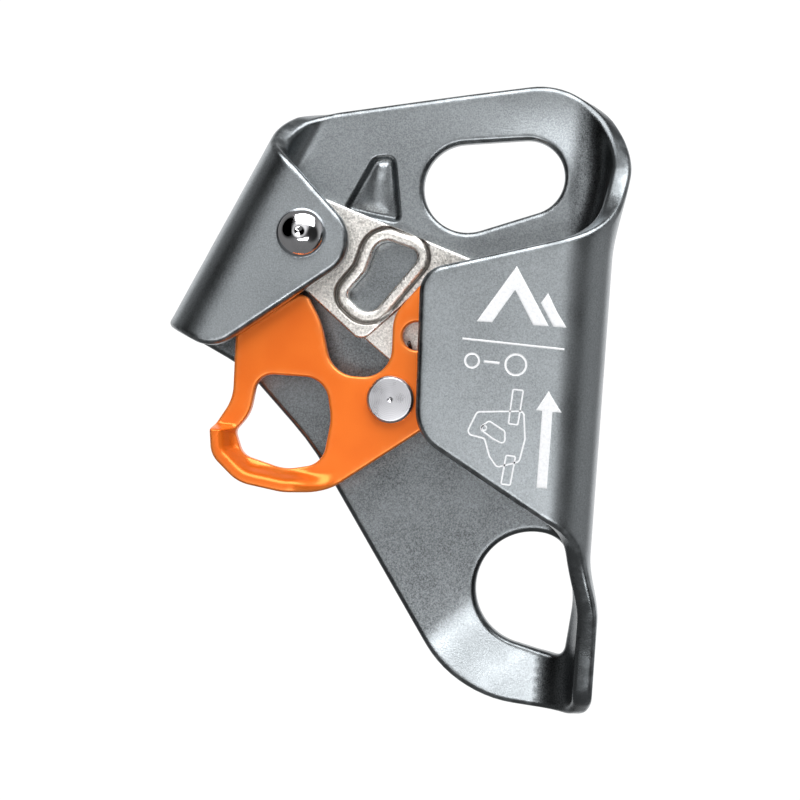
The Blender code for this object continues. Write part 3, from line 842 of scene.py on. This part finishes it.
def print_piece(name, shapes):
    """White ink a few hundredths of a millimetre thick on the front of the flange."""
    top = PLATE / 2
    parts = [
        sheet(outer, holes, top + 0.004, top + 0.02, 0.008, on_flange, gap=0.8, grid=1.0, steps=1)
        for outer, holes in shapes
    ]
    return build(name, *shells(*parts), body="frame")


def printed_marks():
    """Plain generic marks: two peaks over a rule, rope sizes as rings, a rope pictogram and
    an arrow that points up the rope."""
    ring_line, drawn_line = 0.42, 0.32
    arrow = np.array(
        [(1.3, 39.6), (-0.9, 35.7), (0.3, 35.7), (0.3, 20.8), (2.2, 20.8), (2.2, 35.6), (3.6, 35.6)]
    )
    big = np.array(
        [(-13.6, 52.0), (-6.6, 63.2), (0.4, 52.0), (-2.6, 52.0), (-6.6, 58.6), (-10.6, 52.0)]
    )
    small = np.array([(1.3, 52.0), (-1.45, 56.4), (-0.2, 58.4), (3.4, 52.0)])
    rule = np.array([(-16.1, 48.3), (3.3, 47.6), (3.3, 48.0), (-16.1, 48.7)])
    rope_up = [(-5.6, 39.4), (-3.6, 39.3), (-4.2, 32.6), (-6.0, 32.7)]
    rope_down = [(-6.0, 26.6), (-4.2, 26.5), (-4.8, 20.9), (-6.6, 21.0)]
    body = [(-12.2, 34.6), (-14.0, 30.2), (-10.4, 29.6), (-9.2, 26.2)]
    body += [(-7.6, 24.2), (-3.4, 25.6), (-2.6, 30.0), (-3.2, 35.4)]
    cam_mark = [(-11.6, 31.4), (-9.8, 33.0), (-6.6, 31.2), (-6.4, 28.6), (-8.8, 29.6)]
    shapes = {
        "print_arrow": [(arrow, [])],
        "print_peaks": [(big, []), (small, [])],
        "print_rule": [(rule, [])],
        "print_rope_sizes": [
            stroke(circle(-13.9, 44.4, 1.35, 40), ring_line, True),
            (np.array([(-11.6, 44.1), (-8.6, 44.0), (-8.6, 44.5), (-11.6, 44.6)]), []),
            stroke(circle(-5.4, 44.2, 2.0, 48), ring_line, True),
        ],
        "print_pictogram": [
            stroke(rounded([(x, z, 0.3) for x, z in rope_up]), drawn_line, True),
            stroke(rounded([(x, z, 0.3) for x, z in rope_down]), drawn_line, True),
            stroke(rounded([(x, z, 0.9) for x, z in body]), drawn_line, True),
            stroke(rounded([(x, z, 0.6) for x, z in cam_mark]), drawn_line, True),
            stroke(circle(-10.6, 31.6, 0.45, 20), 0.26, True),
        ],
    }
    return [print_piece(name, parts) for name, parts in shapes.items()]


# ---- Materials --------------------------------------------------------------------


class Finish:
    """A material and short ways to add nodes to it."""

    def __init__(self, name, colour, metallic, rough):
        self.material = bpy.data.materials.new(name)
        self.material.use_nodes = True
        self.tree = self.material.node_tree
        self.shader = self.tree.nodes["Principled BSDF"]
        self.colour = colour
        self.shader.inputs["Metallic"].default_value = metallic
        self.shader.inputs["Roughness"].default_value = rough
        self.shader.inputs["Base Color"].default_value = (*colour, 1)
        self.place = self.tree.nodes.new("ShaderNodeTexCoord").outputs["Object"]

    def node(self, kind, **values):
        made = self.tree.nodes.new("ShaderNode" + kind)
        for key, value in values.items():
            if key in made.inputs:
                self.feed(made.inputs[key], value)
            else:
                setattr(made, key, value)
        return made

    def feed(self, socket, value):
        if isinstance(value, bpy.types.NodeSocket):
            self.tree.links.new(value, socket)
        else:
            socket.default_value = value

    def noise(self, scale, detail=3.0, rough=0.6, stretch=None):
        where = self.place
        if stretch:
            where = self.node("Mapping", Vector=self.place, Scale=stretch).outputs[0]
        made = self.node("TexNoise", Vector=where, Scale=scale, Detail=detail, Roughness=rough)
        return made.outputs["Fac"]

    def ramp(self, value, low, high, start=0.0, end=1.0):
        made = self.node("MapRange", Value=value)
        for key, number in (("From Min", start), ("From Max", end), ("To Min", low), ("To Max", high)):
            made.inputs[key].default_value = number
        return made.outputs[0]

    def math(self, what, a, b):
        made = self.node("Math", operation=what)
        self.feed(made.inputs[0], a)
        self.feed(made.inputs[1], b)
        return made.outputs[0]

    def mix(self, amount, a, b, how="MIX"):
        made = self.node("Mix", data_type="RGBA", blend_type=how)
        self.feed(made.inputs[0], amount)
        self.feed(made.inputs[6], a if isinstance(a, bpy.types.NodeSocket) else (*a, 1))
        self.feed(made.inputs[7], b if isinstance(b, bpy.types.NodeSocket) else (*b, 1))
        return made.outputs[2]

    def vertex_mask(self, name="edge_wear_and_shade"):
        return self.node("Attribute", attribute_name=name).outputs["Fac"]

    def bump(self, height, strength, depth):
        made = self.node("Bump", Height=height, Strength=strength, Distance=depth)
        self.tree.links.new(made.outputs[0], self.shader.inputs["Normal"])

    def done(self, colour=None, rough=None):
        if colour is not None:
            self.feed(self.shader.inputs["Base Color"], colour)
        if rough is not None:
            self.feed(self.shader.inputs["Roughness"], rough)
        return self.material


def shade(colour, by):
    return tuple(min(1.0, c * by) for c in colour)


def titanium_grey_anodising():
    """Satin grey anodising over a fine blasted grain, its colour holding painted shade: darker and a
    little smoother along the edges, darker and coarser on the inside of the fold."""
    base = (0.40, 0.43, 0.45)
    f = Finish("titanium_grey_anodising", base, 1.0, 0.3)
    grain = f.noise(3300, 2.0, 0.7)
    cloud = f.noise(70, 4.0, 0.55)
    painted_shade_level = f.vertex_mask("painted_shade")
    edge = f.math("MULTIPLY", f.vertex_mask(), f.ramp(f.noise(420, 3.0), 0.2, 1.0, 0.35, 0.6))
    spread = f.ramp(grain, 0, 1, 0.3, 0.7)
    colour = f.mix(spread, shade(base, 0.74), shade(base, 1.24))
    # Painted shade: the inner face is mixed towards a much darker copy of the grain.
    inner = f.mix(spread, shade(base, 0.1), shade(base, 0.52))
    colour = f.mix(f.ramp(painted_shade_level, 0, 1, 0.0, 1.0), colour, inner)
    colour = f.mix(f.ramp(cloud, 0, 0.3, 0.4, 0.7), colour, shade(base, 0.9))
    # Painted shade: the edge band darkens the edges, to tone down their highlights.
    colour = f.mix(f.math("MULTIPLY", edge, 0.8), colour, shade(base, 0.36))
    rough = f.math("SUBTRACT", f.ramp(cloud, 0.28, 0.36, 0.3, 0.7), f.math("MULTIPLY", edge, 0.04))
    f.bump(grain, 0.4, 0.00006)
    return f.done(colour, rough)


def cast_steel():
    """Blasted steel casting: grainy skin, rubbed bright on the rims, painted shade in the groove."""
    base = (0.80, 0.775, 0.735)
    f = Finish("cast_steel", base, 1.0, 0.4)
    grain = f.noise(2400, 4.0, 0.65)
    lumps = f.noise(700, 3.0)
    colour = f.mix(f.ramp(grain, 0, 1, 0.35, 0.65), shade(base, 0.62), shade(base, 1.25))
    colour = f.mix(f.ramp(lumps, 0, 0.5, 0.55, 0.72), colour, (0.34, 0.31, 0.285))
    rub = f.math("MULTIPLY", f.vertex_mask(), f.ramp(lumps, 0.25, 1.0, 0.35, 0.55))
    colour = f.mix(f.math("MULTIPLY", rub, 0.85), colour, (0.97, 0.955, 0.93))
    # Painted shade: the groove round the window goes nearly black.
    colour = f.mix(f.math("MULTIPLY", f.vertex_mask("painted_shade"), 0.95), colour, (0.07, 0.06, 0.052))
    rough = f.math("SUBTRACT", f.ramp(grain, 0.30, 0.5, 0.3, 0.7), f.math("MULTIPLY", rub, 0.12))
    height = f.math("ADD", grain, f.math("MULTIPLY", lumps, 1.6))
    f.bump(height, 0.45, 0.00012)
    return f.done(colour, rough)


def orange_anodising():
    """Smooth satin orange anodising, its bevels a lighter orange."""
    base = (1.0, 0.18, 0.011)
    f = Finish("orange_anodising", base, 0.45, 0.32)
    grain = f.noise(5200, 2.0)
    cloud = f.noise(55, 3.0)
    colour = f.mix(f.ramp(cloud, 0, 1, 0.35, 0.65), shade(base, 0.95), (1.0, 0.205, 0.014))
    colour = f.mix(f.ramp(grain, 0, 0.10, 0.4, 0.6), colour, shade(base, 0.8))
    edge = f.math("MULTIPLY", f.vertex_mask(), f.ramp(f.noise(300, 2.0), 0.35, 0.8, 0.4, 0.6))
    colour = f.mix(f.math("MULTIPLY", edge, 0.5), colour, (1.0, 0.42, 0.12))
    f.bump(grain, 0.12, 0.00003)
    return f.done(colour, f.ramp(cloud, 0.27, 0.36, 0.3, 0.7))


def polished_steel():
    """Bright steel with hair scratches and faint rubbed patches."""
    base = (0.86, 0.86, 0.88)
    f = Finish("polished_steel", base, 1.0, 0.1)
    hair = f.noise(900, 4.0, 0.7, stretch=(1.0, 1.0, 9.0))
    patch = f.noise(500, 2.0)
    f.bump(hair, 0.05, 0.00003)
    colour = f.mix(f.ramp(patch, 0, 0.4, 0.5, 0.7), base, shade(base, 0.8))
    return f.done(colour, f.ramp(patch, 0.05, 0.16, 0.35, 0.7))


def turned_steel(name, centre, base=(0.66, 0.66, 0.69)):
    """Faced steel: fine rings round the axis of the piece."""
    f = Finish(name, base, 1.0, 0.3)
    where = f.node("Mapping", Vector=f.place, Location=(-centre[0] * MM, 0, -centre[1] * MM))
    wave = f.node("TexWave", Vector=where.outputs[0], Scale=900.0, Distortion=0.6, wave_type="RINGS")
    wave.rings_direction = "Y"
    rings = wave.outputs["Fac"]
    patch = f.noise(350, 3.0)
    colour = f.mix(f.ramp(rings, 0, 1), shade(base, 0.88), shade(base, 1.1))
    colour = f.mix(f.ramp(patch, 0, 0.4, 0.5, 0.7), colour, shade(base, 0.85))
    f.bump(rings, 0.12, 0.00003)
    return f.done(colour, f.ramp(patch, 0.24, 0.38, 0.3, 0.7))


def spring_wire(name, base, rough):
    """Drawn wire: small dark spots."""
    f = Finish(name, base, 1.0, rough)
    spots = f.noise(2600, 3.0)
    f.bump(spots, 0.1, 0.00003)
    colour = f.mix(f.ramp(spots, 0, 1, 0.4, 0.65), base, shade(base, 0.6))
    return f.done(colour, f.ramp(spots, rough, rough + 0.12))


def white_ink():
    """Screen-printed ink, slightly uneven and thin in places."""
    f = Finish("white_ink", (0.86, 0.87, 0.89), 0.0, 0.5)
    uneven = f.noise(1800, 3.0)
    f.bump(uneven, 0.15, 0.00002)
    colour = f.mix(f.ramp(uneven, 0, 0.5, 0.45, 0.75), (0.88, 0.89, 0.91), (0.62, 0.64, 0.66))
    return f.done(colour, f.ramp(uneven, 0.45, 0.6))


# ---- Studio -----------------------------------------------------------------------

CAMERA_PLACE = (0.02333, -0.50230, 0.03576)  # in metres, as are all lengths of the studio
TENT_LEVEL = 0.18
# Direction, angles in degrees where a lamp starts and where it is full, and its strength.
LAMPS = (
    ((-0.05, -1.0, 0.42), 28, 8, 0.8),
    ((-0.2, 1.0, 0.1), 65, 35, 0.9),
    ((-0.64, -0.70, 0.30), 42, 24, -0.20),
    ((0.64, -0.76, 0.0), 36, 16, -0.16),
    ((0.9, 0.1, 0.2), 40, 15, 0.2),
)


def camera():
    """Level camera turned a little to the left and rolled a little."""
    turn, roll = math.radians(6.0), math.radians(4.2)
    level, ahead, up = (
        Vector((math.cos(turn), math.sin(turn), 0)),
        Vector((-math.sin(turn), math.cos(turn), 0)),
        Vector((0, 0, 1)),
    )
    right = level * math.cos(roll) + up * math.sin(roll)
    above = up * math.cos(roll) - level * math.sin(roll)
    data = bpy.data.cameras.new("camera")
    data.lens, data.sensor_width = 112.5, 36.0
    data.clip_start, data.clip_end = 0.01, 20.0
    obj = bpy.data.objects.new("camera", data)
    rows = [(right[i], above[i], -ahead[i], CAMERA_PLACE[i]) for i in range(3)]
    obj.matrix_world = Matrix([*rows, (0, 0, 0, 1)])
    bpy.context.scene.collection.objects.link(obj)
    bpy.context.scene.camera = obj


def panel(name, centre, u, v, colour, glow=0.0, seen=True):
    """Flat rectangle of the studio: half sides u and v, plain or glowing."""
    centre, u, v = (np.array(p, float) for p in (centre, u, v))
    corners = np.array([centre - u - v, centre + u - v, centre + u + v, centre - u + v])
    mesh = bpy.data.meshes.new(name)
    mesh.from_pydata(corners.tolist(), [], [(0, 1, 2, 3)])
    obj = bpy.data.objects.new(name, mesh)
    bpy.context.scene.collection.objects.link(obj)
    material = bpy.data.materials.new(name)
    material.use_nodes = True
    shader = material.node_tree.nodes["Principled BSDF"]
    shader.inputs["Base Color"].default_value = (*colour, 1)
    shader.inputs["Roughness"].default_value = 0.9
    shader.inputs["Emission Color"].default_value = (1, 1, 1, 1)
    shader.inputs["Emission Strength"].default_value = glow
    mesh.materials.append(material)
    obj.visible_camera = seen
    return obj


def softbox(name, place, aim, width, height, power):
    data = bpy.data.lights.new(name, "AREA")
    data.shape, data.size, data.size_y, data.energy = "RECTANGLE", width, height, power
    obj = bpy.data.objects.new(name, data)
    obj.location = place
    obj.rotation_euler = (Vector(aim) - Vector(place)).to_track_quat("-Z", "Y").to_euler()
    bpy.context.scene.collection.objects.link(obj)
    return obj


def tent():
    """World like a light tent: an even level, with soft lamps and flags added or taken away
    by the angle between a direction and each lamp's own."""
    world = bpy.data.worlds.new("studio")
    world.use_nodes = True
    tree = world.node_tree
    background = tree.nodes["Background"]
    way = tree.nodes.new("ShaderNodeTexCoord").outputs["Generated"]
    total = None
    for direction, wide, narrow, strength in LAMPS:
        dot = tree.nodes.new("ShaderNodeVectorMath")
        dot.operation = "DOT_PRODUCT"
        tree.links.new(way, dot.inputs[0])
        dot.inputs[1].default_value = Vector(direction).normalized()
        level = tree.nodes.new("ShaderNodeMapRange")
        level.interpolation_type = "SMOOTHSTEP"
        tree.links.new(dot.outputs["Value"], level.inputs["Value"])
        level.inputs["From Min"].default_value = math.cos(math.radians(wide))
        level.inputs["From Max"].default_value = math.cos(math.radians(narrow))
        level.inputs["To Max"].default_value = strength
        add = tree.nodes.new("ShaderNodeMath")
        if total is None:
            add.inputs[0].default_value = TENT_LEVEL
        else:
            tree.links.new(total, add.inputs[0])
        tree.links.new(level.outputs[0], add.inputs[1])
        total = add.outputs[0]
    # The room itself is seen as an even pale grey.
    seen = tree.nodes.new("ShaderNodeMix")
    tree.links.new(tree.nodes.new("ShaderNodeLightPath").outputs["Is Camera Ray"], seen.inputs[0])
    tree.links.new(total, seen.inputs[2])
    seen.inputs[3].default_value = 0.86
    tree.links.new(seen.outputs[0], background.inputs["Strength"])
    background.inputs["Color"].default_value = (1, 1, 1, 1)
    return world


def studio():
    scene = bpy.context.scene
    scene.view_settings.view_transform = "Standard"
    scene.world = tent()
    middle = (-0.027, -0.01, 0.037)
    floor = panel("floor", (0, 0, -0.3), (3, 0, 0), (0, 3, 0), (0.9, 0.9, 0.9), 0.45)
    floor.visible_glossy = floor.visible_diffuse = False
    backdrop = panel("backdrop", (0, 0.9, 0.6), (3, 0, 0), (0, 0, 2), (0.0, 0.0, 0.0), 1.05)
    backdrop.visible_glossy = backdrop.visible_diffuse = backdrop.visible_shadow = False
    softbox("key_box", (0.12, -0.62, 0.85), middle, 1.2, 0.9, 17)
    softbox("low_box", (0.06, -0.85, -0.2), (0, 0, -0.015), 0.5, 0.13, 1.7)


# ---- Put together -----------------------------------------------------------------

camera()
studio()
grey = titanium_grey_anodising()
steel = cast_steel()
plain = turned_steel("plain_steel", PIVOT, (0.56, 0.55, 0.53))
folded_plate().data.materials.append(grey)
toothed_cam().data.materials.append(steel)
trigger_catch().data.materials.append(orange_anodising())
pivot_rivet().data.materials.append(polished_steel())
catch_pin().data.materials.append(turned_steel("turned_pin", LINK))
sleeve = ring_piece("pivot_sleeve", "cam_sleeve", "frame", PIVOT, 3.05, 4.0, EAR_INNER + 0.06, -2.06, 0.2)
washer = ring_piece("pivot_washer", "cam_washer", "frame", PIVOT, SLEEVE_BORE, 7.4, -2.6, -2.06, 0.15)
shim = ring_piece(
    "catch_shim", "catch_washer", "catch_link", LINK, 2.56, 3.95, CATCH_REAR + 0.03, CAM_FRONT - 0.03, 0.03
)
for piece in (sleeve, washer, shim):
    piece.data.materials.append(plain)
coils = springs()
coils[0].data.materials.append(spring_wire("bright_wire", (0.55, 0.55, 0.56), 0.28))
coils[1].data.materials.append(spring_wire("black_wire", (0.10, 0.10, 0.105), 0.35))
ink = white_ink()
for piece in printed_marks():
    piece.data.materials.append(ink)
